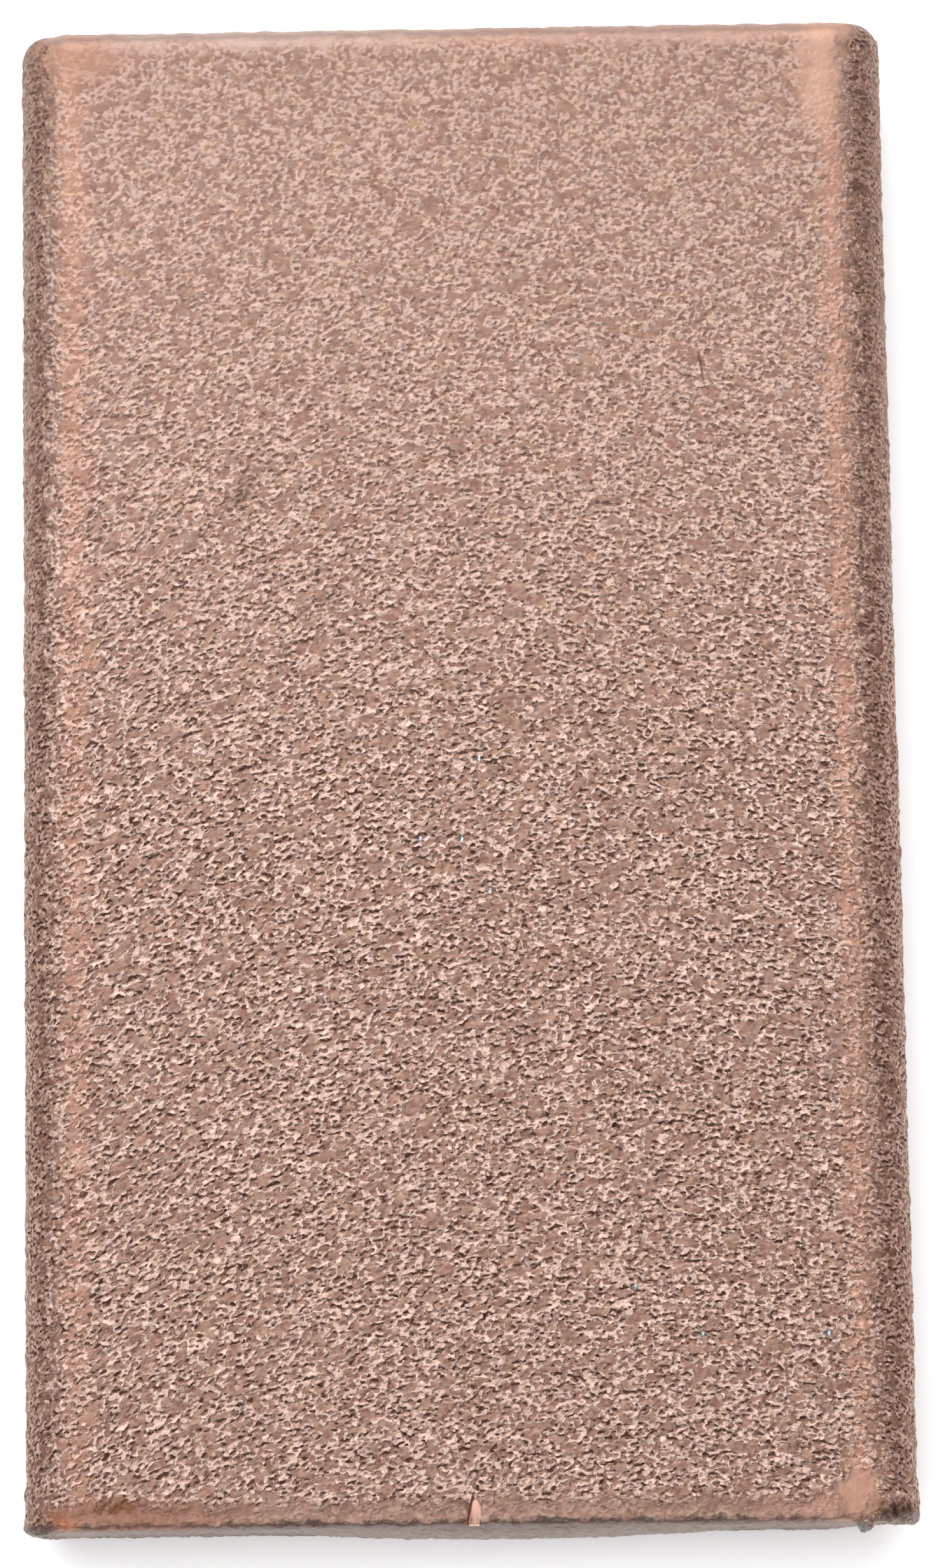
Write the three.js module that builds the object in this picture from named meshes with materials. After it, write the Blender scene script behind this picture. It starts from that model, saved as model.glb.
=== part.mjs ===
// A copper ingot: one solid slab of flat bar with rounded long edges, cut square to length.
// Millimetres, +Z up. It lies flat with its length along Y and its width along X, and the
// origin is the middle of the face that it rests on.

import * as THREE from 'three';

// Driving dimensions.
const LENGTH = 87;
const WIDTH = 50;
const THICKNESS = 11.8;
const TOP_EDGE_RADIUS = 3; // the two long edges of the upper face
const BASE_EDGE_RADIUS = 3; // the two long edges of the face it rests on
const END_EDGE_RADIUS = 1.2; // the worn lip all round each cut end

// Facets.
const LONG_EDGE_FACETS = 12;
const END_EDGE_FACETS = 6;

const QUARTER_TURN = Math.PI / 2;

/** The bar's cross-section, standing on its base line and centred across the width. */
function barSection() {
  const side = WIDTH / 2;
  const topCentreX = side - TOP_EDGE_RADIUS;
  const topCentreZ = THICKNESS - TOP_EDGE_RADIUS;
  const baseCentreX = side - BASE_EDGE_RADIUS;
  const section = new THREE.Shape();
  section.moveTo(-baseCentreX, 0);
  section.absarc(baseCentreX, BASE_EDGE_RADIUS, BASE_EDGE_RADIUS, -QUARTER_TURN, 0);
  section.absarc(topCentreX, topCentreZ, TOP_EDGE_RADIUS, 0, QUARTER_TURN);
  section.absarc(-topCentreX, topCentreZ, TOP_EDGE_RADIUS, QUARTER_TURN, 2 * QUARTER_TURN);
  section.absarc(-baseCentreX, BASE_EDGE_RADIUS, BASE_EDGE_RADIUS, 2 * QUARTER_TURN, 3 * QUARTER_TURN);
  return section;
}

/** The section drawn out along the length, with its outline shrinking round the lip at each end. */
function ingot() {
  const lengthBetweenLips = LENGTH - 2 * END_EDGE_RADIUS;
  const geometry = new THREE.ExtrudeGeometry(barSection(), {
    depth: lengthBetweenLips,
    steps: 1,
    curveSegments: LONG_EDGE_FACETS,
    bevelEnabled: true,
    bevelThickness: END_EDGE_RADIUS,
    bevelSize: END_EDGE_RADIUS,
    bevelOffset: -END_EDGE_RADIUS,
    bevelSegments: END_EDGE_FACETS,
  });
  const blastedCopper = new THREE.MeshStandardMaterial({
    color: 0xb59386,
    roughness: 0.6,
    metalness: 0.9,
  });
  const mesh = new THREE.Mesh(geometry, blastedCopper);
  mesh.name = 'ingot';
  mesh.rotation.x = QUARTER_TURN;
  mesh.position.y = lengthBetweenLips / 2;
  return mesh;
}

const part = new THREE.Group();
part.add(ingot());

export default part;
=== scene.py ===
"""A small blasted copper ingot lying on a pale studio floor."""

import logging
import math
from dataclasses import dataclass
from enum import Enum
from typing import Callable

import bpy
from bpy.types import Material, Node, NodeSocket, NodeTree, Object
from mathutils import Matrix, Vector


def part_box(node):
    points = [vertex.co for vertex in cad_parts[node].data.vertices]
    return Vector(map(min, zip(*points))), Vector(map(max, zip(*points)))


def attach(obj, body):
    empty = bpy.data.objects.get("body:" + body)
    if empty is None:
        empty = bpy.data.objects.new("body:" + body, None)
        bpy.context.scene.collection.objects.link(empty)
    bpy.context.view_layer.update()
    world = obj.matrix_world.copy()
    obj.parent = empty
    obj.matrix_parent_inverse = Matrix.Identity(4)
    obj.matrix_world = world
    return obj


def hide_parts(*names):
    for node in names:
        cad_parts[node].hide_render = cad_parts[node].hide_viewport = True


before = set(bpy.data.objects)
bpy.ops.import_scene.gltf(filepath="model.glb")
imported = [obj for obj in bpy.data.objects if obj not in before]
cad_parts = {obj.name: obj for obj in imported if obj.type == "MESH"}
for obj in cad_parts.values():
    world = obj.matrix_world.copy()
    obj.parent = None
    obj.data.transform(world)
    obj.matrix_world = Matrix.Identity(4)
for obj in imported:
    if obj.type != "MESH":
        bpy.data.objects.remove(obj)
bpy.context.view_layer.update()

MM = 0.001
log = logging.getLogger("ingot")


def linear(hex_code: str) -> tuple[float, float, float, float]:
    """Turn an sRGB hex colour into the linear colour that a shader socket takes.

    Args:
        hex_code: six hex digits after a #.

    Returns:
        Linear red, green and blue, with an alpha of 1.
    """
    channels = (int(hex_code[i:i + 2], 16) / 255 for i in (1, 3, 5))
    red, green, blue = (c / 12.92 if c <= 0.04045 else ((c + 0.055) / 1.055) ** 2.4 for c in channels)
    return red, green, blue, 1.0


def add_node(tree: NodeTree, kind: str, inputs: dict | None = None, **settings: object) -> Node:
    """Add a node, set its properties, and fill or link its input sockets.

    Args:
        tree: the node tree that takes the node.
        kind: the node's type name.
        inputs: socket name or number to a plain value, or to the socket that feeds it.
        settings: the node's own properties.

    Returns:
        The new node.
    """
    made = tree.nodes.new(kind)
    for name, value in settings.items():
        setattr(made, name, value)
    for socket, value in (inputs or {}).items():
        if isinstance(value, NodeSocket):
            tree.links.new(value, made.inputs[socket])
        else:
            made.inputs[socket].default_value = value
    return made


def start_alone() -> None:
    """Leave edit mode and deselect everything, so that the next operator acts on new work only."""
    if bpy.context.mode != "OBJECT":
        bpy.ops.object.mode_set(mode="OBJECT")
    bpy.ops.object.select_all(action="DESELECT")


class Pick(Enum):
    """What an operator is to act on."""

    POINTS = "VERT"
    EDGES = "EDGE"


def pick(piece: Object, what: Pick, wanted: Callable[[list[Vector]], bool]) -> None:
    """Go into edit mode with some of a piece's points or edges selected, by their places.

    Args:
        piece: the object, which is the active one.
        what: points or edges.
        wanted: a test of the places of an element's ends, one for a point and two for an edge.
    """
    start_alone()
    piece.select_set(True)
    bpy.ops.object.mode_set(mode="EDIT")
    bpy.ops.mesh.select_mode(type=what.value)
    bpy.ops.mesh.select_all(action="DESELECT")
    bpy.ops.object.mode_set(mode="OBJECT")
    points = piece.data.vertices
    if what is Pick.POINTS:
        for point in points:
            point.select = wanted([point.co])
    else:
        for edge in piece.data.edges:
            edge.select = wanted([points[index].co for index in edge.vertices])
    bpy.ops.object.mode_set(mode="EDIT")


def slice_across(piece: Object, place: Vector, normal: Vector) -> None:
    """Cut a ring of new edges round a piece with a plane.

    Args:
        piece: the object, which is the active one.
        place: a point on the plane.
        normal: the plane's normal.
    """
    pick(piece, Pick.POINTS, lambda ends: True)
    bpy.ops.mesh.bisect(plane_co=place, plane_no=normal)


def apply_modifier(piece: Object, kind: str, **settings: object) -> None:
    """Put one modifier on the active piece and apply it at once.

    Args:
        piece: the object, which is the active one.
        kind: the modifier's type name.
        settings: the modifier's properties.
    """
    modifier = piece.modifiers.new(kind.lower(), kind)
    for name, value in settings.items():
        setattr(modifier, name, value)
    bpy.ops.object.modifier_apply(modifier=modifier.name)


@dataclass(frozen=True)
class Mark:
    """One stain, rub, tear or glint: where a small egg of space, soft at its rim, meets the skin.

    Places and sizes are in millimetres, and the turn about the vertical is in degrees. The share
    of roughness left inside it is set only where the mark changes it. A mark that wanders has a
    ragged rim.
    """

    colour: str
    place: tuple[float, float, float]
    size: tuple[float, float, float]
    turn: float = 0.0
    strength: float = 1.0
    soft: float = 0.6
    rough: float | None = None
    wanders: bool = False

    def share(self, tree: NodeTree, place: NodeSocket) -> NodeSocket:
        """Work out how strongly the mark shows.

        Args:
            tree: the material's nodes.
            place: the Object coordinates, shifted or not.

        Returns:
            The share, from 0 outside the mark to 1 inside it.
        """
        own = add_node(
            tree, "ShaderNodeMapping",
            {
                "Vector": place, "Location": Vector(self.place) * MM,
                "Rotation": (0.0, 0.0, math.radians(self.turn)), "Scale": Vector(self.size) * MM,
            },
            vector_type="TEXTURE",
        ).outputs[0]
        distance = add_node(tree, "ShaderNodeVectorMath", {0: own}, operation="LENGTH").outputs["Value"]
        return add_node(
            tree, "ShaderNodeMapRange",
            {"Value": distance, "From Min": 1 + self.soft, "From Max": 1 - self.soft},
            interpolation_type="SMOOTHSTEP",
        ).outputs[0]


@dataclass
class Regions:
    """The parts of the ingot, each a share from 0 away from it to 1 on it."""

    rim: NodeSocket  # the two long rims of the upper face
    side: NodeSocket  # the long sides and the far end face
    end: NodeSocket  # the near end face
    arris: NodeSocket  # the torn edge along the top of the near end face


@dataclass
class Grain:
    """The noises that the blasted skin is made of, each running about from 0 to 1."""

    flakes: NodeSocket
    lumps: NodeSocket
    # The gouges also hold the side pits and the painted shade in each flake's lee.
    gouges: NodeSocket
    swells: NodeSocket
    patch: NodeSocket
    tints: tuple[NodeSocket, NodeSocket]


@dataclass(frozen=True)
class BlastedCopper:
    """Bare copper, blasted with coarse shot and gone slightly brown.

    To the eye it is a mass of pale flat flakes on a pinkish ground, cut by short dark gouges that
    all run one way, with smooth rubbed patches that show the clean orange metal.
    """

    # Colours of the blasted skin, from its hollows to its flakes, and of the flats worn on it. The dark pit
    # colour is partly painted shade in the gouges and under the flakes, and the pale flake colour partly a
    # painted highlight.
    pit: str = "#563B31"
    dull: str = "#946F62"
    ground: str = "#BE9C90"
    flake: str = "#DDBDB0"
    flat: str = "#946F61"
    # Colours of the far end, where the skin goes more even and darker, of the rubbed lips and of the clean
    # rims. The sides are darkened, and the near end greyed and darkened, with painted shade.
    worn: str = "#8F7165"
    rubbed: str = "#B08B7B"
    orange: str = "#CC9880"
    side: str = "#E9E2DF"
    end: str = "#8A827F"
    # Faint grey and ochre spots.
    grey: str = "#9F8D84"
    ochre: str = "#BE9C80"
    tint_share: float = 0.4
    tint_size: float = 0.6 * MM
    tint_edges: tuple[float, float] = (0.54, 0.68)
    tumble: tuple[float, float, float] = (0.7, 0.5, 0.3)

    # Flakes: their real size, the noise levels at which their tones change, and their rise. Each one has a
    # short painted shade on its near side, in the pit colour, which also sinks the relief there.
    flake_length: float = 0.30 * MM
    flake_width: float = 0.225 * MM
    flake_wobble: float = 0.35
    flake_detail: float = 0.3
    flake_tones: tuple[float, float, float, float] = (0.39, 0.46, 0.50, 0.57)
    flake_rise: tuple[float, float] = (0.38, 0.62)
    flake_lee: float = 0.6
    flake_shadow: float = 1.0
    flake_height: float = 0.35
    # Lumps under the flakes, long low swells, and flats where the flakes are knocked off.
    lump_size: float = 0.28 * MM
    swell_length: float = 1.3 * MM
    swell_width: float = 0.75 * MM
    swell_share: float = 0.9
    patch_length: float = 0.85 * MM
    patch_width: float = 0.62 * MM
    patch_edges: tuple[float, float] = (0.60, 0.55)
    patch_share: float = 0.2
    # Gouges: short cuts that run across the ingot, and bow and fan a little along it.
    gouge_length: float = 0.38 * MM
    gouge_width: float = 0.19 * MM
    gouge_turn: float = math.radians(7)
    gouge_tilt: tuple[float, float] = (0.5, 0.0)
    gouge_bow: float = 5.2
    gouge_fan: float = 1.5
    gouge_wobble: float = 0.7
    gouge_depth: float = 0.4
    gouge_edges: tuple[float, float] = (0.70, 0.82)
    pit_edges: tuple[float, float] = (0.75, 0.81)
    relief: float = 0.16 * MM
    roughness: float = 0.46

    # Wear calms the skin's relief from the near end to the far one; over the same run its colour goes more
    # even and darker.
    worn_from: float = 43.5 * MM
    worn_run: float = 46 * MM
    worn_relief: float = 0.14
    worn_contrast: float = 0.50
    # The edges of each region wander by slow noise.
    wander: tuple[float, float, float] = (3.0 * MM, 2.4 * MM, 1.6 * MM)
    wander_size: float = 0.9 * MM
    end_wander: float = 0.3
    # Rims: rubbed clean, most of all where the cover of blasted skin is thin.
    rim_place: float = 22.0 * MM
    rim_fade: tuple[float, float] = (1.08 * MM, 0.12 * MM)
    rim_tint: float = 0.3
    rim_share: float = 0.7
    cover_size: float = 2.4 * MM
    cover_edges: tuple[float, float] = (0.51, 0.63)
    cover_slope: float = 1.6
    # Lips: smooth, with a little of the flakes' colour left.
    lips: tuple[tuple[float, float], ...] = ((-42.7 * MM, -41.7 * MM), (43.1 * MM, 41.6 * MM))
    lip_share: float = 0.16
    rubbed_relief: float = 0.1
    rubbed_tone: float = 0.35
    # Long sides and far end face: blasted harder than the upper face.
    side_place: tuple[float, float] = (23.15 * MM, 23.75 * MM)
    side_shift: float = 0.25 * MM
    side_pits: float = 0.08
    side_relief: float = 3.0
    side_wear: float = 0.6
    far_place: tuple[float, float] = (42.7 * MM, 43.0 * MM)
    far_top: tuple[float, float] = (10.65 * MM, 10.3 * MM)
    # Near end face: plain, painted grey and darker as shade, with the pit colour painted along its torn top
    # edge as shade in the crease under the lip, up to the torn corner.
    end_shade_share: float = 0.7
    end_place: tuple[float, float] = (-42.98 * MM, -43.12 * MM)
    end_top: tuple[float, float] = (11.55 * MM, 11.42 * MM)
    arris_shade_share: float = 0.6
    arris_rise: tuple[float, float] = (7.5 * MM, 10.8 * MM)
    arris_stop: tuple[float, float] = (22.3 * MM, 23.0 * MM)

    marks: tuple[Mark, ...] = (
        # Tints along the two halves of the far lip, and of the near one.
        Mark("#B8A69E", (-12.0, 43.7, 11.9), (14.0, 1.3, 1.5), strength=0.6, soft=0.5, wanders=True),
        Mark("#AE9488", (13.0, 43.7, 11.9), (12.0, 1.3, 1.5), strength=0.5, soft=0.5, wanders=True),
        Mark("#CFA08C", (20.5, -42.6, 11.4), (4.5, 0.9, 2), strength=0.45, soft=0.5, wanders=True),
        Mark("#A5725C", (-18.5, -42.7, 11.4), (5.5, 0.9, 2), strength=0.5, soft=0.5, wanders=True),
        # Three rubbed corners, and the cleaner rim on the right.
        Mark(
            "#AC806C", (-21.6, 41.9, 11.5), (2.6, 1.6, 3),
            strength=0.45, soft=0.7, rough=0.6, wanders=True,
        ),
        Mark(
            "#CEA591", (21.4, 40.8, 11.5), (1.2, 3.6, 3),
            strength=0.6, soft=0.6, rough=0.5, wanders=True,
        ),
        Mark(
            "#CC9D87", (21.6, -42.0, 11.5), (1.2, 1.7, 3),
            strength=0.6, soft=0.5, rough=0.0, wanders=True,
        ),
        Mark("#C39A87", (22.4, 0.0, 11.5), (1.0, 60.0, 3), strength=0.2, wanders=True),
        # A brown stain and an orange spot on the near lip, a smudge and a scratch on the face.
        Mark("#86553A", (-19.6, -42.3, 11.5), (1.4, 0.45, 2), -12, strength=0.75, wanders=True),
        Mark("#D58A6C", (-23.0, -42.9, 11.5), (0.8, 0.45, 2), -35, strength=0.6, soft=0.9),
        Mark("#7A6055", (-12.4, 15.8, 11.5), (1.5, 0.45, 2), 52, strength=0.6),
        Mark("#6E4C40", (14.13, 23.0, 11.5), (1.15, 0.07, 2), -81, strength=0.8),
        # The nick: fresh metal on its slope, painted pale also as a painted highlight, and painted shade on
        # its steep wall.
        Mark("#F3C2AE", (0.16, -42.65, 11.0), (0.38, 1.35, 0.85), -8, soft=0.1, rough=0.0),
        Mark(
            "#8A5646", (-0.17, -42.65, 11.2), (0.07, 1.05, 1.2), -13,
            strength=0.8, soft=0.3, rough=0.0,
        ),
        # The torn corner: rough and brown, with painted shade in its small dark holes and painted
        # highlights for its bright flecks.
        Mark(
            "#4E3A32", (23.7, -43.1, 11.0), (1.5, 0.7, 2), 8,
            strength=0.1, soft=0.5, rough=1.0, wanders=True,
        ),
        Mark("#6B5249", (23.7, -42.9, 11.0), (1.3, 0.45, 2), 8, strength=0.55),
        Mark("#3A211B", (23.60, -42.88, 11.0), (0.17, 0.36, 2), 15, strength=0.85, soft=0.9),
        Mark("#3A211B", (24.12, -42.90, 11.0), (0.13, 0.12, 2), strength=0.9, soft=0.8),
        Mark("#3A211B", (24.43, -42.75, 11.0), (0.13, 0.22, 2), -15, strength=0.85, soft=0.9),
        Mark("#4A2E26", (23.10, -43.02, 11.0), (0.26, 0.13, 2), 15, strength=0.75, soft=0.9),
        Mark("#4A2E26", (22.64, -42.96, 11.0), (0.20, 0.08, 2), 20, strength=0.7, soft=0.9),
        Mark("#6E463A", (22.92, -42.55, 11.0), (0.18, 0.10, 2), 20, strength=0.7, soft=0.8),
        Mark("#F4D6C8", (23.82, -42.02, 11.0), (0.11, 0.15, 2), 20, strength=0.9, soft=0.4),
        Mark("#ECCABC", (23.27, -42.31, 11.0), (0.12, 0.15, 2), 20, strength=0.9, soft=0.4),
        # The burr that hangs from the corner's edge, and a painted highlight for the glint on it.
        Mark("#A39A97", (21.85, -43.85, 10.9), (0.45, 0.35, 0.6), strength=0.9, soft=0.5),
        Mark("#FBF4E6", (21.99, -43.50, 11.1), (0.13, 0.06, 0.3), 10, soft=0.4),
    )
    # Painted highlights on grains that catch the light, each on a wider painted shade, in millimetres
    # across and along the upper face.
    glints: tuple[tuple[float, float], ...] = (
        (1.01, 0.05), (-2.40, -4.58), (-0.04, -4.61), (1.51, -7.61), (9.31, -30.28),
        (13.08, -32.99), (20.13, -33.02),
    )
    glint_top: float = 11.8
    glint_colour: str = "#E4EBF3"
    glint_size: tuple[float, float, float] = (0.07, 0.15, 2)
    glint_shade: str = "#625C60"
    glint_shade_size: tuple[float, float, float] = (0.26, 0.2, 2)
    glint_shade_shift: float = 0.05

    def spots(self) -> list[Mark]:
        """List the marks, with each glint as a painted highlight on a wider painted shade."""
        spots = list(self.marks)
        for x, y in self.glints:
            shade_place = (x - self.glint_shade_shift, y, self.glint_top)
            spots.append(Mark(self.glint_shade, shade_place, self.glint_shade_size, strength=0.7, soft=0.5))
            spots.append(Mark(self.glint_colour, (x, y, self.glint_top), self.glint_size, soft=0.4))
        return spots

    def material(self) -> Material:
        """Build the shader.

        Returns:
            The material, ready to go in the ingot's only slot.
        """
        finish = bpy.data.materials.new("blasted_copper")
        finish.use_nodes = True
        tree = finish.node_tree
        tree.nodes.clear()
        place = add_node(tree, "ShaderNodeTexCoord").outputs["Object"]
        wandered = self.wandered(tree, place)
        regions = self.regions(tree, place, wandered)
        rough = self.rough_share(tree, place, wandered, regions)
        shares = []
        for mark in self.spots():
            share = mark.share(tree, wandered if mark.wanders else place)
            shares.append((share, mark.strength, mark.colour))
            if mark.rough is not None:
                rough = add_node(
                    tree, "ShaderNodeMix", {0: share, 2: rough, 3: mark.rough}, data_type="FLOAT"
                ).outputs[0]

        colour, height = self.skin(tree, place, rough, regions.side)
        # Darken the long sides and the far end face by multiplying: painted shade on these upright faces,
        # on top of their harder blast.
        colour = add_node(
            tree, "ShaderNodeMix", {0: regions.side, 6: colour, 7: linear(self.side)},
            data_type="RGBA", blend_type="MULTIPLY",
        ).outputs[2]
        # Lay on the rims' orange, the painted shade of the near end face and of its top edge, and the
        # marks.
        layers = [
            (regions.rim, self.rim_tint, self.orange), (regions.end, self.end_shade_share, self.end),
            (regions.arris, self.arris_shade_share, self.pit), *shares,
        ]
        for shown, strength, shade in layers:
            share = add_node(
                tree, "ShaderNodeMath", {0: shown, 1: strength}, operation="MULTIPLY"
            ).outputs[0]
            colour = add_node(
                tree, "ShaderNodeMix", {0: share, 6: colour, 7: linear(shade)}, data_type="RGBA"
            ).outputs[2]
        upright = add_node(
            tree, "ShaderNodeMath", {0: regions.side, 1: regions.end}, operation="MAXIMUM"
        ).outputs[0]
        deeper = add_node(
            tree, "ShaderNodeMapRange", {"Value": upright, "To Min": 1.0, "To Max": self.side_relief}
        ).outputs[0]
        height = add_node(tree, "ShaderNodeMath", {0: height, 1: deeper}, operation="MULTIPLY").outputs[0]
        bump = add_node(
            tree, "ShaderNodeBump", {"Height": height, "Strength": 1.0, "Distance": self.relief}
        ).outputs[0]
        surface = add_node(
            tree, "ShaderNodeBsdfPrincipled",
            {"Base Color": colour, "Metallic": 1.0, "Roughness": self.roughness, "Normal": bump},
        ).outputs[0]
        add_node(tree, "ShaderNodeOutputMaterial", {"Surface": surface})
        return finish

    def wandered(self, tree: NodeTree, place: NodeSocket) -> NodeSocket:
        """Shift the place by slow noise, so that the edge of a patch laid on it wanders.

        Args:
            tree: the material's nodes.
            place: the Object coordinates.

        Returns:
            The shifted place.
        """
        wander = add_node(
            tree, "ShaderNodeTexNoise", {"Vector": place, "Scale": 1 / self.wander_size, "Detail": 4.0}
        ).outputs["Color"]
        wander = add_node(
            tree, "ShaderNodeVectorMath",
            {0: wander, 1: self.wander, 2: Vector(self.wander) / -2},
            operation="MULTIPLY_ADD",
        ).outputs[0]
        return add_node(tree, "ShaderNodeVectorMath", {0: place, 1: wander}, operation="ADD").outputs[0]

    def regions(self, tree: NodeTree, place: NodeSocket, wandered: NodeSocket) -> Regions:
        """Tell the parts of the ingot from one another.

        Args:
            tree: the material's nodes.
            place: the Object coordinates.
            wandered: the same, shifted by slow noise.

        Returns:
            Where each part is.
        """
        axes = add_node(tree, "ShaderNodeSeparateXYZ", {"Vector": wandered}).outputs
        across = add_node(tree, "ShaderNodeMath", {0: axes[0]}, operation="ABSOLUTE").outputs[0]
        off_rim = add_node(
            tree, "ShaderNodeMath", {0: across, 1: self.rim_place}, operation="SUBTRACT"
        ).outputs[0]
        off_rim = add_node(tree, "ShaderNodeMath", {0: off_rim}, operation="ABSOLUTE").outputs[0]
        across = add_node(
            tree, "ShaderNodeMath", {0: axes[0], 1: self.side_shift}, operation="ADD"
        ).outputs[0]
        across = add_node(tree, "ShaderNodeMath", {0: across}, operation="ABSOLUTE").outputs[0]
        tight = add_node(
            tree, "ShaderNodeMix", {0: self.end_wander, 4: place, 5: wandered}, data_type="VECTOR"
        ).outputs[1]
        tight = add_node(tree, "ShaderNodeSeparateXYZ", {"Vector": tight}).outputs
        found = []
        for steps in (
            ((off_rim, self.rim_fade),),
            ((across, self.side_place),),
            ((tight[1], self.far_place), (tight[2], self.far_top)),
            ((tight[1], self.end_place), (tight[2], self.end_top)),
        ):
            share = 1.0
            for value, (start, full) in steps:
                share = add_node(
                    tree, "ShaderNodeMapRange",
                    {"Value": value, "From Min": start, "From Max": full, "To Max": share},
                    interpolation_type="SMOOTHSTEP",
                ).outputs[0]
            found.append(share)
        rim, side, far, end = found
        side = add_node(tree, "ShaderNodeMath", {0: side, 1: far}, operation="MAXIMUM").outputs[0]
        arris = add_node(
            tree, "ShaderNodeMapRange",
            {
                "Value": tight[2], "From Min": self.arris_rise[0],
                "From Max": self.arris_rise[1], "To Max": end,
            },
            interpolation_type="SMOOTHSTEP",
        ).outputs[0]
        arris = add_node(
            tree, "ShaderNodeMapRange",
            {
                "Value": tight[0], "From Min": self.arris_stop[0],
                "From Max": self.arris_stop[1], "To Min": arris, "To Max": 0.0,
            },
        ).outputs[0]
        return Regions(rim, side, end, arris)

    def rough_share(
        self, tree: NodeTree, place: NodeSocket, wandered: NodeSocket, regions: Regions
    ) -> NodeSocket:
        """Work out how much of the blasted roughness is left: little at the lips and the rims.

        Args:
            tree: the material's nodes.
            place: the Object coordinates.
            wandered: the same, shifted by slow noise.
            regions: where the parts of the ingot are.

        Returns:
            The share left, from 0 where the skin is rubbed smooth to 1.
        """
        cover = add_node(
            tree, "ShaderNodeTexNoise", {"Vector": place, "Scale": 1 / self.cover_size, "Detail": 2.0}
        ).outputs["Fac"]
        axes = add_node(tree, "ShaderNodeSeparateXYZ", {"Vector": wandered}).outputs
        cover = add_node(
            tree, "ShaderNodeMath", {0: axes[0], 1: self.cover_slope, 2: cover}, operation="MULTIPLY_ADD"
        ).outputs[0]
        bare = add_node(
            tree, "ShaderNodeMapRange",
            {
                "Value": cover, "From Min": self.cover_edges[0], "From Max": self.cover_edges[1],
                "To Max": regions.rim,
            },
            interpolation_type="SMOOTHSTEP",
        ).outputs[0]
        left = add_node(
            tree, "ShaderNodeMapRange", {"Value": bare, "To Min": 1.0, "To Max": self.rim_share}
        ).outputs[0]
        for lip_start, lip_end in self.lips:
            lip = add_node(
                tree, "ShaderNodeMapRange",
                {"Value": axes[1], "From Min": lip_start, "From Max": lip_end, "To Min": self.lip_share},
                interpolation_type="SMOOTHSTEP",
            ).outputs[0]
            left = add_node(tree, "ShaderNodeMath", {0: left, 1: lip}, operation="MINIMUM").outputs[0]
        return add_node(tree, "ShaderNodeMath", {0: left, 1: regions.side}, operation="MAXIMUM").outputs[0]

    def skin(
        self, tree: NodeTree, place: NodeSocket, rough: NodeSocket, side: NodeSocket
    ) -> tuple[NodeSocket, NodeSocket]:
        """Make the blasted skin: flakes, lumps, gouges and rubbed patches.

        Args:
            tree: the material's nodes.
            place: the Object coordinates.
            rough: the share of roughness left by the rims and lips.
            side: where the long sides are, which are pitted more.

        Returns:
            The colour, and the height in shares of the relief.
        """
        wear, vivid = self.wear_shares(tree, place, side)
        grain = self.grain(tree, place, wear, side)
        uneven = add_node(
            tree, "ShaderNodeMapRange",
            {
                "Value": grain.patch, "From Min": self.patch_edges[0],
                "From Max": self.patch_edges[1], "To Min": self.patch_share,
            },
        ).outputs[0]
        unrubbed = add_node(tree, "ShaderNodeMath", {0: uneven, 1: rough}, operation="MULTIPLY").outputs[0]
        fresh = add_node(tree, "ShaderNodeMath", {0: unrubbed, 1: wear}, operation="MULTIPLY").outputs[0]
        gouged, pitted = (
            add_node(
                tree, "ShaderNodeMapRange",
                {"Value": grain.gouges, "From Min": start, "From Max": full, "To Max": fresh},
            ).outputs[0]
            for start, full in (self.gouge_edges, self.pit_edges)
        )
        colour = self.colour(tree, grain, rough, uneven, vivid, pitted)
        height = self.height(tree, grain, rough, unrubbed, wear, gouged)
        return colour, height

    def wear_shares(
        self, tree: NodeTree, place: NodeSocket, side: NodeSocket
    ) -> tuple[NodeSocket, NodeSocket]:
        """Work out what the wear along the ingot leaves.

        Args:
            tree: the material's nodes.
            place: the Object coordinates.
            side: where the long sides are, which are worn less.

        Returns:
            The shares of the relief and of the contrast that are left.
        """
        axes = add_node(tree, "ShaderNodeSeparateXYZ", {"Vector": place}).outputs
        unworn = add_node(
            tree, "ShaderNodeMath", {0: side, 1: self.side_wear}, operation="MULTIPLY"
        ).outputs[0]
        shares = []
        for least in (self.worn_relief, self.worn_contrast):
            share = add_node(
                tree, "ShaderNodeMapRange",
                {
                    "Value": axes[1], "From Min": self.worn_from,
                    "From Max": self.worn_from - self.worn_run, "To Min": least, "To Max": 1.0,
                },
            ).outputs[0]
            share = add_node(tree, "ShaderNodeMath", {0: share, 1: unworn}, operation="MAXIMUM").outputs[0]
            shares.append(share)
        relief, contrast = shares
        return relief, contrast

    def bowed(self, tree: NodeTree, place: NodeSocket) -> NodeSocket:
        """Bend the place along the ingot, so that what runs across it bows and fans out.

        Args:
            tree: the material's nodes.
            place: the Object coordinates.

        Returns:
            The bent place.
        """
        axes = add_node(tree, "ShaderNodeSeparateXYZ", {"Vector": place}).outputs
        fan = add_node(
            tree, "ShaderNodeMath", {0: axes[1], 1: self.gouge_fan}, operation="MULTIPLY"
        ).outputs[0]
        bow = add_node(
            tree, "ShaderNodeMath", {0: axes[0], 1: self.gouge_bow, 2: fan}, operation="MULTIPLY_ADD"
        ).outputs[0]
        along = add_node(
            tree, "ShaderNodeMath", {0: axes[0], 1: bow, 2: axes[1]}, operation="MULTIPLY_ADD"
        ).outputs[0]
        return add_node(tree, "ShaderNodeCombineXYZ", {"X": axes[0], "Y": along, "Z": axes[2]}).outputs[0]

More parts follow.
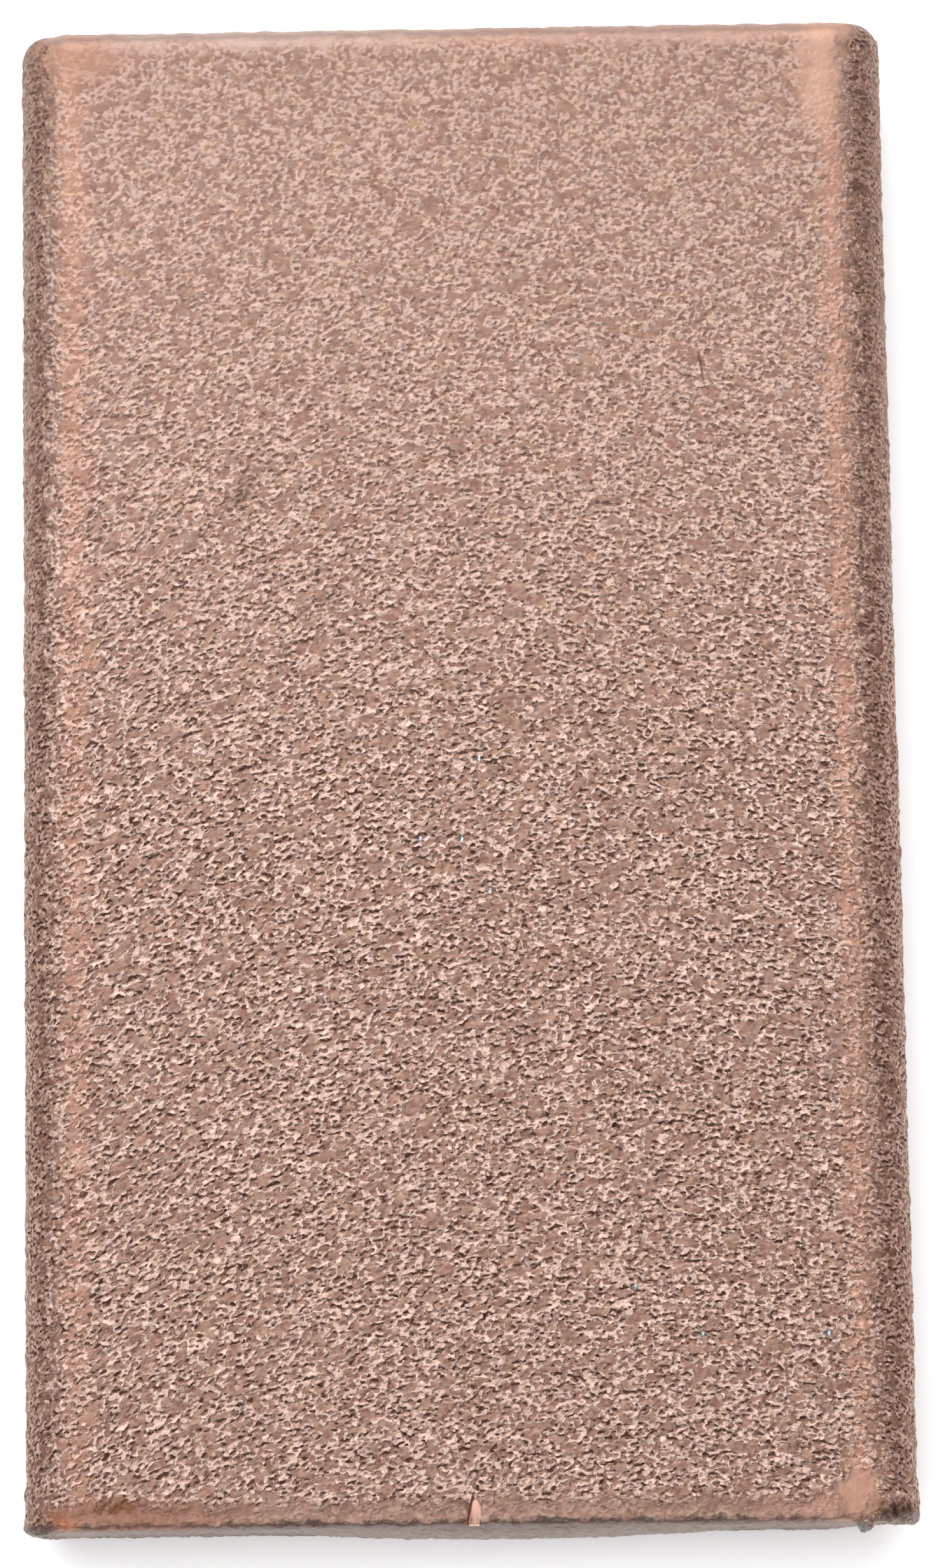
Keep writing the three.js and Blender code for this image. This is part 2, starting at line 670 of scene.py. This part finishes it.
    def grain(self, tree: NodeTree, place: NodeSocket, wear: NodeSocket, side: NodeSocket) -> Grain:
        """Make the noises of the blasted skin.

        Args:
            tree: the material's nodes.
            place: the Object coordinates.
            wear: the share of the relief that the wear leaves.
            side: where the long sides are, which are pitted more.

        Returns:
            The noises. Where the skin is worn, its flakes give way to lumps.
        """
        bowed = self.bowed(tree, place)
        gouge_place, flake_place, swell_place, patch_place = (
            add_node(
                tree, "ShaderNodeMapping",
                {
                    "Vector": bowed, "Rotation": (*self.gouge_tilt, self.gouge_turn),
                    "Scale": (length, width, width),
                },
                vector_type="TEXTURE",
            ).outputs[0]
            for length, width in (
                (self.gouge_length, self.gouge_width), (self.flake_length, self.flake_width),
                (self.swell_length, self.swell_width), (self.patch_length, self.patch_width),
            )
        )
        lee_place = add_node(
            tree, "ShaderNodeVectorMath", {0: flake_place, 1: (0, self.flake_lee, 0)}, operation="ADD"
        ).outputs[0]
        tumbled = add_node(tree, "ShaderNodeMapping", {"Vector": place, "Rotation": self.tumble}).outputs[0]
        gouges, flakes, lee, swells, patch, lumps, tints = (
            add_node(
                tree, "ShaderNodeTexNoise",
                {"Vector": vector, "Scale": scale, "Detail": detail, "Distortion": wobble},
            ).outputs
            for vector, scale, detail, wobble in (
                (gouge_place, 1.0, 0.5, self.gouge_wobble),
                (flake_place, 1.0, self.flake_detail, self.flake_wobble),
                (lee_place, 1.0, self.flake_detail, self.flake_wobble),
                (swell_place, 1.0, 0.5, 0.3),
                (patch_place, 1.0, 1.5, 0.4),
                (tumbled, 1 / self.lump_size, 0.5, 0.3),
                (tumbled, 1 / self.tint_size, 1.0, 0.5),
            )
        )
        # Each flake's lee: painted shade, added to the gouges, so it darkens the colour and sinks the
        # relief.
        shade = add_node(
            tree, "ShaderNodeMath", {0: lee["Fac"], 1: flakes["Fac"]}, operation="SUBTRACT"
        ).outputs[0]
        cuts_and_lee_shade = gouges["Fac"]
        for share, strength in ((side, self.side_pits), (shade, self.flake_shadow)):
            cuts_and_lee_shade = add_node(
                tree, "ShaderNodeMath", {0: share, 1: strength, 2: cuts_and_lee_shade}, operation="MULTIPLY_ADD"
            ).outputs[0]
        flaked = add_node(
            tree, "ShaderNodeMix", {0: wear, 2: lumps["Fac"], 3: flakes["Fac"]}, data_type="FLOAT"
        ).outputs[0]
        ochre, grey, _ = add_node(tree, "ShaderNodeSeparateColor", {"Color": tints["Color"]}).outputs
        return Grain(flaked, lumps["Fac"], cuts_and_lee_shade, swells["Fac"], patch["Fac"], (ochre, grey))

    def colour(
        self, tree: NodeTree, grain: Grain, rough: NodeSocket, uneven: NodeSocket,
        vivid: NodeSocket, pitted: NodeSocket,
    ) -> NodeSocket:
        """Colour the blasted skin.

        Args:
            tree: the material's nodes.
            grain: the noises of the skin.
            rough: the share of roughness left by the rims and lips.
            uneven: the share left by the flats.
            vivid: the share of the contrast that the wear leaves.
            pitted: where the pit colour goes: on the dark pits, and as painted shade under the flakes.

        Returns:
            The colour.
        """
        tone = add_node(tree, "ShaderNodeValToRGB", {"Fac": grain.flakes})
        ramp = tone.color_ramp
        ramp.elements.new(self.flake_tones[1])
        ramp.elements.new(self.flake_tones[2])
        tones = (self.dull, self.ground, self.ground, self.flake)
        for element, position, shade in zip(ramp.elements, self.flake_tones, tones):
            element.position = position
            element.color = linear(shade)
        colour = tone.outputs[0]
        for share, shade in ((uneven, self.flat), (vivid, self.worn)):
            colour = add_node(
                tree, "ShaderNodeMix", {0: share, 6: linear(shade), 7: colour}, data_type="RGBA"
            ).outputs[2]
        for noise, tint in zip(grain.tints, (self.ochre, self.grey)):
            share = add_node(
                tree, "ShaderNodeMapRange",
                {
                    "Value": noise, "From Min": self.tint_edges[0],
                    "From Max": self.tint_edges[1], "To Max": self.tint_share,
                },
            ).outputs[0]
            colour = add_node(
                tree, "ShaderNodeMix", {0: share, 6: colour, 7: linear(tint)}, data_type="RGBA"
            ).outputs[2]
        shown = add_node(
            tree, "ShaderNodeMath", {0: rough, 1: self.rubbed_tone}, operation="MAXIMUM"
        ).outputs[0]
        colour = add_node(
            tree, "ShaderNodeMix", {0: shown, 6: linear(self.rubbed), 7: colour}, data_type="RGBA"
        ).outputs[2]
        # Lay on the pit colour, partly as painted shade in the gouges and in each flake's lee.
        return add_node(
            tree, "ShaderNodeMix", {0: pitted, 6: colour, 7: linear(self.pit)}, data_type="RGBA"
        ).outputs[2]

    def height(
        self, tree: NodeTree, grain: Grain, rough: NodeSocket, unrubbed: NodeSocket,
        wear: NodeSocket, gouged: NodeSocket,
    ) -> NodeSocket:
        """Raise the blasted skin.

        Args:
            tree: the material's nodes.
            grain: the noises of the skin.
            rough: the share of roughness left by the rims and lips.
            unrubbed: the share left by those and the flats.
            wear: the share of the relief that the wear leaves.
            gouged: where the gouges are.

        Returns:
            The height in shares of the relief.
        """
        plates = add_node(
            tree, "ShaderNodeMapRange",
            {"Value": grain.flakes, "From Min": self.flake_rise[0], "From Max": self.flake_rise[1]},
            interpolation_type="SMOOTHSTEP",
        ).outputs[0]
        plated = add_node(
            tree, "ShaderNodeMath", {0: unrubbed, 1: self.flake_height}, operation="MULTIPLY"
        ).outputs[0]
        height = add_node(
            tree, "ShaderNodeMix", {0: plated, 2: grain.lumps, 3: plates}, data_type="FLOAT"
        ).outputs[0]
        height = add_node(tree, "ShaderNodeMath", {0: height, 1: 0.5}, operation="SUBTRACT").outputs[0]
        share = add_node(
            tree, "ShaderNodeMapRange", {"Value": unrubbed, "To Min": self.rubbed_relief, "To Max": 1.0}
        ).outputs[0]
        height = add_node(tree, "ShaderNodeMath", {0: height, 1: share}, operation="MULTIPLY").outputs[0]
        swell = add_node(
            tree, "ShaderNodeMath", {0: grain.swells, 1: rough}, operation="MULTIPLY"
        ).outputs[0]
        for form, reach in ((gouged, -self.gouge_depth), (swell, self.swell_share)):
            height = add_node(
                tree, "ShaderNodeMath", {0: form, 1: reach, 2: height}, operation="MULTIPLY_ADD"
            ).outputs[0]
        return add_node(tree, "ShaderNodeMath", {0: height, 1: wear}, operation="MULTIPLY").outputs[0]


@dataclass
class Ingot:
    """The ingot: flat bar with rounded long edges, sheared to length, blasted all over.

    The far end is the bar's old end, worn round. The near end was sheared, so its corners are
    square and flare a little, its upper edge is rolled down into a smooth lip, its face bulges,
    and it keeps a nick, a burr and a torn right-hand corner.
    """

    long_edge_radius: float = 3.0 * MM
    far_end_radius: float = 1.25 * MM
    near_end_radius: float = 0.35 * MM
    # The sheared end: its lip rolls down, its corners flare, its face leans in towards the base
    # and is tucked in further under the torn corner, and its middle bulges.
    lip_length: float = 1.45 * MM
    lip_drop: float = 0.32 * MM
    flare_length: float = 2.7 * MM
    flare: float = 0.17 * MM
    lean: float = 0.22 * MM
    tuck_width: float = 4.5 * MM
    tuck: float = 0.38 * MM
    bulge: tuple[float, float, float] = (20 * MM, 2.0 * MM, 5.2 * MM)
    bulge_place: float = 3.0 * MM
    bulge_height: float = 0.38 * MM
    # Both ends are a little out of square.
    far_skew: float = math.radians(0.20)
    near_skew: float = math.radians(0.15)
    nick_place: float = 0.07 * MM
    nick_length: float = 2.0 * MM
    nick_width: float = 0.84 * MM
    nick_size: float = 6 * MM
    nick_turn: tuple[float, float, float] = (math.radians(23), math.radians(-22), math.radians(-20))
    # The burr, which is the first three, and the crumbs of the torn corner, in millimetres: across,
    # along, below the upper face, and the radius.
    crumbs: tuple[tuple[float, float, float, float], ...] = (
        (21.66, -43.66, 0.85, 0.25), (21.82, -44.00, 1.00, 0.21), (22.18, -43.76, 0.90, 0.24),
        (22.75, -43.30, 0.62, 0.28), (23.20, -43.38, 0.78, 0.26), (23.62, -43.20, 0.90, 0.30),
        (24.05, -43.30, 1.25, 0.27), (24.45, -43.05, 1.60, 0.30), (23.35, -42.80, 0.62, 0.24),
        (23.90, -42.70, 0.98, 0.26), (24.35, -42.35, 1.35, 0.24),
    )
    # The skin's mesh is fine enough for the grit, and then thinned, first on the hidden base.
    skin_step: float = 0.15 * MM
    base_skin: float = 0.3 * MM
    base_ratio: float = 0.66
    most_triangles: int = 196_000

    def build(self) -> Object:
        """Model the piece in the place of the CAD solid.

        Returns:
            The finished mesh object.
        """
        low, high = (Vector(corner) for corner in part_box("ingot"))
        piece = self.bar(low, high)
        self.shape_ends(piece, low, high)
        self.add_lumps(piece, low, high)
        apply_modifier(piece, "REMESH", mode="VOXEL", voxel_size=self.skin_step)
        self.blast(piece, low, high)
        self.cut_nick(piece, low, high)
        self.thin(piece)
        bpy.ops.object.shade_smooth_by_angle(angle=math.radians(60))
        return piece

    def bar(self, low: Vector, high: Vector) -> Object:
        """Add the bar and round its long edges.

        Args:
            low: the ingot's lowest corner.
            high: its highest corner.

        Returns:
            The bar, with square ends.
        """
        start_alone()
        bpy.ops.mesh.primitive_cube_add(size=1, location=(low + high) / 2, scale=high - low)
        piece = bpy.context.object
        piece.name = "blasted_ingot"
        bpy.ops.object.transform_apply(location=True, rotation=True, scale=True)
        pick(piece, Pick.EDGES, lambda ends: abs(ends[0].y - ends[1].y) > high.y)
        bpy.ops.mesh.bevel(offset=self.long_edge_radius, segments=10, profile=0.5, affect="EDGES")
        return piece

    def shape_ends(self, piece: Object, low: Vector, high: Vector) -> None:
        """Shape the two ends: flare and lean the near one, round both, and roll the lip down.

        Args:
            piece: the bar with square ends.
            low: the ingot's lowest corner.
            high: its highest corner.
        """
        width, height = high.x - low.x, high.z - low.z
        near = Vector((0, low.y, 0))
        along = Vector((0, 1, 0))
        slight = 0.05 * MM

        slice_across(piece, near + along * self.flare_length, along)
        pick(piece, Pick.POINTS, lambda ends: ends[0].y < low.y + slight)
        bpy.ops.transform.resize(value=(1 + 2 * self.flare / width, 1, 1), center_override=near)
        pick(
            piece, Pick.POINTS,
            lambda ends: ends[0].y < low.y + slight and ends[0].z < height / 2,
        )
        bpy.ops.transform.translate(value=along * self.lean)

        for end, pivot, turn in (
            (high.y, low.x, -self.far_skew), (low.y, high.x, self.near_skew),
        ):
            pick(piece, Pick.POINTS, lambda ends: abs(ends[0].y - end) < self.lean + slight)
            bpy.ops.transform.rotate(value=turn, orient_axis="Z", center_override=Vector((pivot, end, 0)))

        for end, radius in ((high.y, self.far_end_radius), (low.y, self.near_end_radius)):
            pick(
                piece, Pick.EDGES,
                lambda ends: max(abs(point.y - end) for point in ends) < 1 * MM,
            )
            bpy.ops.mesh.bevel(offset=radius, segments=6, profile=0.5, affect="EDGES")

        slice_across(piece, Vector((high.x - self.tuck_width, 0, 0)), Vector((1, 0, 0)))
        pick(
            piece, Pick.POINTS,
            lambda ends: (
                ends[0].x > high.x - self.tuck_width + slight
                and ends[0].y < low.y + 1 * MM and ends[0].z < height / 2
            ),
        )
        bpy.ops.transform.translate(value=along * self.tuck)

        slice_across(piece, near + along * self.lip_length, along)
        pick(piece, Pick.POINTS, lambda ends: ends[0].y < low.y + self.lip_length - slight)
        bpy.ops.transform.resize(value=(1, 1, 1 - self.lip_drop / height), center_override=near)

    def cut_nick(self, piece: Object, low: Vector, high: Vector) -> None:
        """Cut the small wedge-shaped nick into the lip, steep on its left and shallow on its right.

        Args:
            piece: the dense block.
            low: the ingot's lowest corner.
            high: its highest corner.
        """
        start_alone()
        side = self.nick_size
        apex = Vector((self.nick_place, low.y + self.nick_length, high.z))
        bpy.ops.mesh.primitive_cube_add(
            size=1, location=apex, rotation=self.nick_turn, scale=(self.nick_width, side, side)
        )
        cutter = bpy.context.object
        bpy.ops.object.mode_set(mode="EDIT")
        bpy.ops.transform.translate(value=(self.nick_width / 2, 0, side / 2), orient_type="LOCAL")
        start_alone()
        piece.select_set(True)
        bpy.context.view_layer.objects.active = piece
        apply_modifier(piece, "BOOLEAN", object=cutter, operation="DIFFERENCE", solver="MANIFOLD")
        bpy.data.objects.remove(cutter)

    def add_lumps(self, piece: Object, low: Vector, high: Vector) -> None:
        """Lay the end's bulge and the torn crumbs at its corner into the bar, for the skin to fuse.

        Args:
            piece: the bar with its ends shaped.
            low: the ingot's lowest corner.
            high: its highest corner.
        """
        middle = (low.z + high.z) / 2
        sunk = self.bulge[1] - self.bulge_height
        bulge = (Vector((self.bulge_place, low.y + sunk, middle)), self.bulge)
        crumbs = [
            (Vector((x * MM, y * MM, high.z - depth * MM)), (radius * MM,) * 3)
            for x, y, depth, radius in self.crumbs
        ]
        lumps = [bulge, *crumbs]
        for place, size in lumps:
            start_alone()
            bpy.ops.mesh.primitive_uv_sphere_add(segments=48, ring_count=24, location=place, scale=size)
            bpy.ops.object.transform_apply(location=True, rotation=True, scale=True)
            lump = bpy.context.object
            start_alone()
            lump.select_set(True)
            piece.select_set(True)
            bpy.context.view_layer.objects.active = piece
            bpy.ops.object.join()

    def blast(self, piece: Object, low: Vector, high: Vector) -> None:
        """Push the skin in and out: slow waves and hollows all over, grit on the edges and ends.

        Args:
            piece: the dense block.
            low: the ingot's lowest corner.
            high: its highest corner.
        """
        places = [point.co for point in piece.data.vertices]
        for name, depth_at, start, full in (
            ("edges", lambda place: abs(place.x) - high.x, -2.6 * MM, -1.6 * MM),
            ("sides", lambda place: abs(place.x) - high.x, -1.6 * MM, -0.8 * MM),
            ("ends", lambda place: abs(place.y) - high.y, -1.2 * MM, -0.7 * MM),
            ("arris", lambda place: low.y - place.y, -0.7 * MM, -0.3 * MM),
        ):
            group = piece.vertex_groups.new(name=name)
            shares = [(depth_at(place) - start) / (full - start) for place in places]
            for step in range(1, 5):
                points = [index for index, share in enumerate(shares) if share * 4 > step - 0.5]
                group.add(points, step / 4, "REPLACE")
        for name, size, reach, middle, group in (
            ("waves", 12 * MM, 0.10 * MM, 0.5, ""),
            ("hollows", 2.0 * MM, 0.04 * MM, 0.5, ""),
            ("swells", 0.9 * MM, 0.06 * MM, 0.5, ""),
            ("grit", 0.5 * MM, 0.12 * MM, 0.3, "edges"),
            ("chips", 0.7 * MM, 0.24 * MM, 0.25, "sides"),
            ("ragged", 0.9 * MM, 0.12 * MM, 0.5, "ends"),
            ("torn", 0.4 * MM, 0.22 * MM, 0.4, "arris"),
        ):
            texture = bpy.data.textures.new(name, "CLOUDS")
            texture.noise_scale = size
            apply_modifier(
                piece, "DISPLACE", texture=texture, texture_coords="LOCAL", strength=reach,
                mid_level=middle, vertex_group=group,
            )
        piece.vertex_groups.clear()

    def thin(self, piece: Object) -> None:
        """Thin the mesh, first the base that it rests on and then all of it.

        Args:
            piece: the dense block.
        """
        base = piece.vertex_groups.new(name="base")
        base.add(
            [point.index for point in piece.data.vertices if point.co.z < self.base_skin],
            1.0, "REPLACE",
        )
        apply_modifier(
            piece, "DECIMATE", ratio=self.base_ratio, vertex_group=base.name, vertex_group_factor=1.0
        )
        piece.vertex_groups.clear()
        piece.data.calc_loop_triangles()
        ratio = self.most_triangles / len(piece.data.loop_triangles)
        apply_modifier(piece, "DECIMATE", ratio=min(1.0, ratio))

    def dress(self, piece: Object, finish: BlastedCopper) -> None:
        """Give the piece its finish and put it in place of the CAD solid.

        Args:
            piece: the finished mesh object.
            finish: the copper's finish.
        """
        piece.data.materials.clear()
        piece.data.materials.append(finish.material())
        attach(piece, "root")
        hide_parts("ingot")


@dataclass(frozen=True)
class Softbox:
    """A flat soft lamp that faces the ingot: where it stands and how wide it looks from there."""

    name: str
    radiance: float
    lean_back: float
    lean_left: float
    half_width: float
    half_height: float
    distance: float = 0.70

    def build(self) -> None:
        """Make the lamp and put it in the scene."""
        lamp = bpy.data.lights.new(self.name, "AREA")
        lamp.shape = "RECTANGLE"
        lamp.size = 2 * self.distance * math.tan(math.radians(self.half_width))
        lamp.size_y = 2 * self.distance * math.tan(math.radians(self.half_height))
        lamp.energy = self.radiance * lamp.size * lamp.size_y * math.pi
        box = bpy.data.objects.new(self.name, lamp)
        towards = Vector((
            -math.tan(math.radians(self.lean_left)), math.tan(math.radians(self.lean_back)), 1,
        )).normalized()
        box.location = towards * self.distance
        box.rotation_euler = towards.to_track_quat("Z", "Y").to_euler()
        bpy.context.scene.collection.objects.link(box)


@dataclass
class Studio:
    """A pale floor, a soft lamp overhead, a brighter one behind the ingot, and a dim world."""

    overhead: Softbox = Softbox("overhead", 0.93, 0, 11, 50, 25)
    behind: Softbox = Softbox("behind", 1.3, 50, 12, 50, 25)
    world_colour: str = "#FFFFFF"
    world_strength: float = 0.4
    floor_size: float = 6.0
    floor_colour: str = "#F4F4F4"
    floor_glow: float = 0.54
    shadow_reach: float = 3 * MM

    def build(self) -> None:
        """Make the floor, the lamps and the world.

        The world is white to the eye and dim to the copper, which loses its contrast in even light.
        """
        start_alone()
        bpy.ops.mesh.primitive_plane_add(size=self.floor_size, location=(0, 0, 0))
        floor = bpy.context.object
        floor.name = "studio_floor"
        floor.data.materials.append(self.floor_paint())
        self.overhead.build()
        self.behind.build()

        world = bpy.data.worlds.new("studio")
        world.use_nodes = True
        tree = world.node_tree
        tree.nodes.clear()
        seen = add_node(tree, "ShaderNodeLightPath").outputs["Is Camera Ray"]
        strength = add_node(
            tree, "ShaderNodeMapRange", {"Value": seen, "To Min": self.world_strength, "To Max": 1.0}
        ).outputs[0]
        sky = add_node(
            tree, "ShaderNodeBackground", {"Color": linear(self.world_colour), "Strength": strength}
        ).outputs[0]
        add_node(tree, "ShaderNodeOutputWorld", {"Surface": sky})
        bpy.context.scene.world = world

    def floor_paint(self) -> Material:
        """Make the floor's pale matt paint, which the eye and the metal see as white, with a painted
        contact shadow round the ingot.
        """
        paint = bpy.data.materials.new("pale_floor")
        paint.use_nodes = True
        tree = paint.node_tree
        tree.nodes.clear()
        rays = add_node(tree, "ShaderNodeLightPath").outputs
        seen = add_node(
            tree, "ShaderNodeMath", {0: rays["Is Camera Ray"], 1: rays["Is Glossy Ray"]},
            operation="MAXIMUM",
        ).outputs[0]
        open_sky = add_node(
            tree, "ShaderNodeAmbientOcclusion", {"Distance": self.shadow_reach}
        ).outputs["AO"]
        glow = add_node(
            tree, "ShaderNodeMath", {0: seen, 1: self.floor_glow}, operation="MULTIPLY"
        ).outputs[0]
        # The glow is dimmed by ambient occlusion near the ingot: a painted contact shadow.
        glow = add_node(tree, "ShaderNodeMath", {0: glow, 1: open_sky}, operation="MULTIPLY").outputs[0]
        surface = add_node(
            tree, "ShaderNodeBsdfPrincipled",
            {
                "Base Color": linear(self.floor_colour), "Roughness": 0.9,
                "Emission Color": linear("#FFFFFF"), "Emission Strength": glow,
            },
        ).outputs[0]
        add_node(tree, "ShaderNodeOutputMaterial", {"Surface": surface})
        return paint


@dataclass
class Viewpoint:
    """The camera: nearly overhead, leaning a little towards the near end."""

    frame_width: int = 1485
    frame_height: int = 2464
    focal_pixels: float = 9873.0
    distance: float = 0.370
    tilt: float = math.radians(10.2)
    swing: float = math.radians(-0.5)
    roll: float = math.radians(-0.9)
    aim: tuple[float, float, float] = (0.00071, 0.00067, 0.0)
    film: float = 36.0

    def build(self) -> None:
        """Make the camera and look through it."""
        lens = bpy.data.cameras.new("camera")
        lens.sensor_width = self.film
        lens.lens = self.focal_pixels * self.film / self.frame_height
        lens.clip_start = 0.01
        camera = bpy.data.objects.new("camera", lens)
        back = Vector((
            math.sin(self.swing) * math.cos(self.tilt),
            -math.sin(self.tilt),
            math.cos(self.swing) * math.cos(self.tilt),
        ))
        right = Vector((0, 1, 0)).cross(back).normalized()
        up = back.cross(right)
        upright = Matrix((right, up, back)).transposed()
        turned = upright @ Matrix.Rotation(self.roll, 3, "Z")
        camera.rotation_euler = turned.to_euler()
        camera.location = Vector(self.aim) + back * self.distance
        bpy.context.scene.collection.objects.link(camera)
        bpy.context.scene.camera = camera


def main() -> None:
    """Build the ingot, the studio and the camera."""
    logging.basicConfig(level=logging.INFO, format="%(name)s: %(message)s")
    bpy.context.scene.view_settings.view_transform = "Standard"
    ingot = Ingot()
    piece = ingot.build()
    ingot.dress(piece, BlastedCopper())
    log.info("%s: %d faces", piece.name, len(piece.data.polygons))
    Studio().build()
    log.info("studio: floor, two lamps and world")
    Viewpoint().build()


if __name__ == "__main__":
    main()
